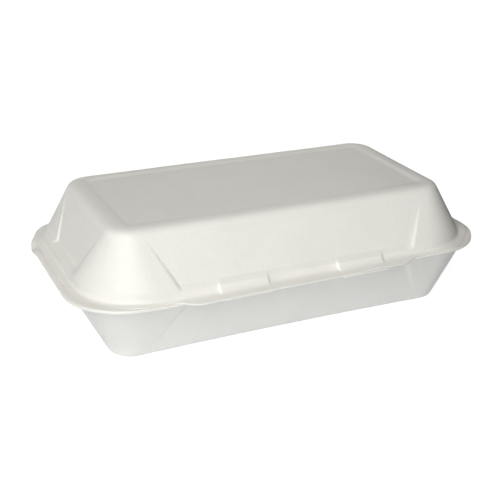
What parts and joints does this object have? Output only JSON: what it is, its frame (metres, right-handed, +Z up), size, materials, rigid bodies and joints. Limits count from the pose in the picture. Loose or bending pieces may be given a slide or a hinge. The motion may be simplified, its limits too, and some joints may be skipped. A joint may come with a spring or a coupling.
{
  "type": "foam clamshell container",
  "caption": "Hinged foam food box: a long tray with sloping walls and a matching domed lid, joined by a fold at the back and opened by a tongue at the front.",
  "frame": {"origin": "on the table, under the middle of the tray", "axes": "+X along the box, -Y to the front with the lifting tongue, +Y to the hinge, +Z up"},
  "size_m": [0.24, 0.1344, 0.0687],
  "materials": {
    "foam": "satin white foam skin"
  },
  "bodies": {
    "tray": {"tray": "foam"},
    "lid": {"lid": "foam"}
  },
  "joints": [
    {"name": "lid_hinge", "type": "hinge", "parent": "tray", "child": "lid", "pos_m": [0, 0.0635, 0.0361], "axis": [-1, 0, 0], "range_deg": [0, 180]}
  ]
}
